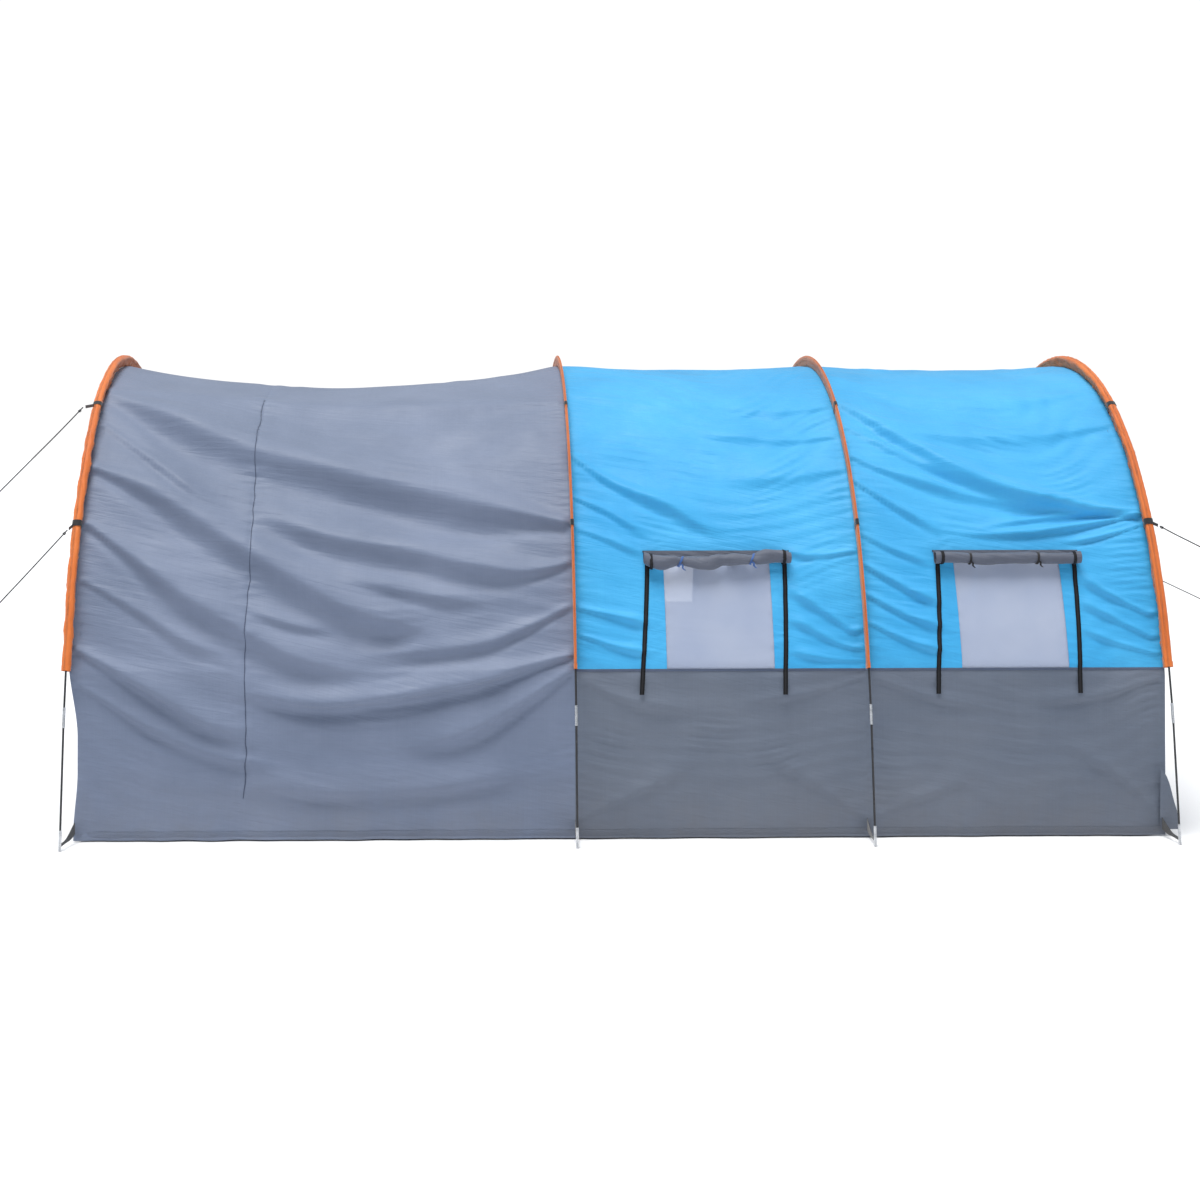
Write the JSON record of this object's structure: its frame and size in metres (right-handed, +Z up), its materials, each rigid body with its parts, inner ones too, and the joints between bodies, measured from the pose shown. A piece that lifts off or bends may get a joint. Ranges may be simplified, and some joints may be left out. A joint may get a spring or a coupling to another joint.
{
  "type": "tunnel tent",
  "caption": "Family tunnel tent on bent rods in orange sleeves, with a grey porch, blue rooms, net windows under rolled covers, zipped end doors and guy lines.",
  "frame": {"origin": "on the ground under the middle of the tunnel", "axes": "+X along the tunnel from the porch to the rear, +Y to the far side, +Z up"},
  "size_m": [6.5732, 3.1124, 2.15],
  "materials": {
    "rod": "black fibreglass rod, satin",
    "fitting": "bright steel ferrules and tips",
    "slider": "zip slider",
    "sleeve": "orange coated polyester",
    "grey_cloth": "blue-grey coated polyester taffeta",
    "blue_cloth": "bright blue coated polyester taffeta",
    "net": "white insect net",
    "cover": "grey taffeta, rolled",
    "floor": "woven polyethylene groundsheet",
    "webbing": "black webbing",
    "guy_line": "dark braided cord"
  },
  "bodies": {
    "tent": {"eye_front_high": "guy_line", "eye_front_low": "guy_line", "eye_rear_far": "guy_line", "eye_rear_near": "guy_line", "ferrule_a_far": "fitting", "ferrule_a_near": "fitting", "ferrule_b_far": "fitting", "ferrule_b_near": "fitting", "ferrule_c_far": "fitting", "ferrule_c_near": "fitting", "ferrule_d_far": "fitting", "ferrule_d_near": "fitting", "front_wall": "grey_cloth", "groundsheet": "floor", "line_front_high": "guy_line", "line_front_low": "guy_line", "line_rear_far": "guy_line", "line_rear_near": "guy_line", "loop_front_high": "webbing", "loop_front_low": "webbing", "loop_rear_far": "webbing", "loop_rear_near": "webbing", "middle_canopy": "blue_cloth", "middle_wall_far": "grey_cloth", "middle_wall_near": "grey_cloth", "middle_window_far": "net", "middle_window_near": "net", "porch_canopy": "grey_cloth", "rear_canopy": "blue_cloth", "rear_wall": "grey_cloth", "rear_wall_far": "grey_cloth", "rear_wall_near": "grey_cloth", "rear_window_far": "net", "rear_window_near": "net", "rod_a": "rod", "rod_b": "rod", "rod_c": "rod", "rod_d": "rod", "sleeve_a": "sleeve", "sleeve_b": "sleeve", "sleeve_c": "sleeve", "sleeve_d": "sleeve", "tip_a_far": "fitting", "tip_a_near": "fitting", "tip_b_far": "fitting", "tip_b_near": "fitting", "tip_c_far": "fitting", "tip_c_near": "fitting", "tip_d_far": "fitting", "tip_d_near": "fitting"},
    "front_door": {"front_door": "grey_cloth"},
    "rear_door": {"rear_door": "grey_cloth"},
    "front_slider": {"front_zip_slider": "slider"},
    "rear_slider": {"rear_zip_slider": "slider"},
    "middle_cover_near": {"middle_cover_near": "cover"},
    "middle_cover_far": {"middle_cover_far": "cover"},
    "rear_cover_near": {"rear_cover_near": "cover"},
    "rear_cover_far": {"rear_cover_far": "cover"}
  },
  "joints": [
    {"name": "front_door_swing", "type": "hinge", "parent": "tent", "child": "front_door", "pos_m": [-2.355, 0.61, 0.93], "axis": [0, 0, -1], "range_deg": [0, 100]},
    {"name": "rear_door_swing", "type": "hinge", "parent": "tent", "child": "rear_door", "pos_m": [2.355, 0.61, 0.93], "axis": [0, 0, 1], "range_deg": [0, 100]},
    {"name": "front_zip_run", "type": "slide", "parent": "tent", "child": "front_slider", "axis": [0, 0, 1], "range_m": [0, 1.1]},
    {"name": "rear_zip_run", "type": "slide", "parent": "tent", "child": "rear_slider", "axis": [0, 0, 1], "range_m": [0, 1.1]},
    {"name": "middle_cover_near_drop", "type": "hinge", "parent": "tent", "child": "middle_cover_near", "pos_m": [0.44, 1.16005, 0.15144], "axis": [1, 0, 0], "range_deg": [0, 10.8]},
    {"name": "middle_cover_far_drop", "type": "hinge", "parent": "tent", "child": "middle_cover_far", "pos_m": [0.44, -1.16005, 0.15144], "axis": [-1, 0, 0], "range_deg": [0, 10.8]},
    {"name": "rear_cover_near_drop", "type": "hinge", "parent": "tent", "child": "rear_cover_near", "pos_m": [1.74, 1.16005, 0.15144], "axis": [1, 0, 0], "range_deg": [0, 10.8]},
    {"name": "rear_cover_far_drop", "type": "hinge", "parent": "tent", "child": "rear_cover_far", "pos_m": [1.74, -1.16005, 0.15144], "axis": [-1, 0, 0], "range_deg": [0, 10.8]}
  ]
}
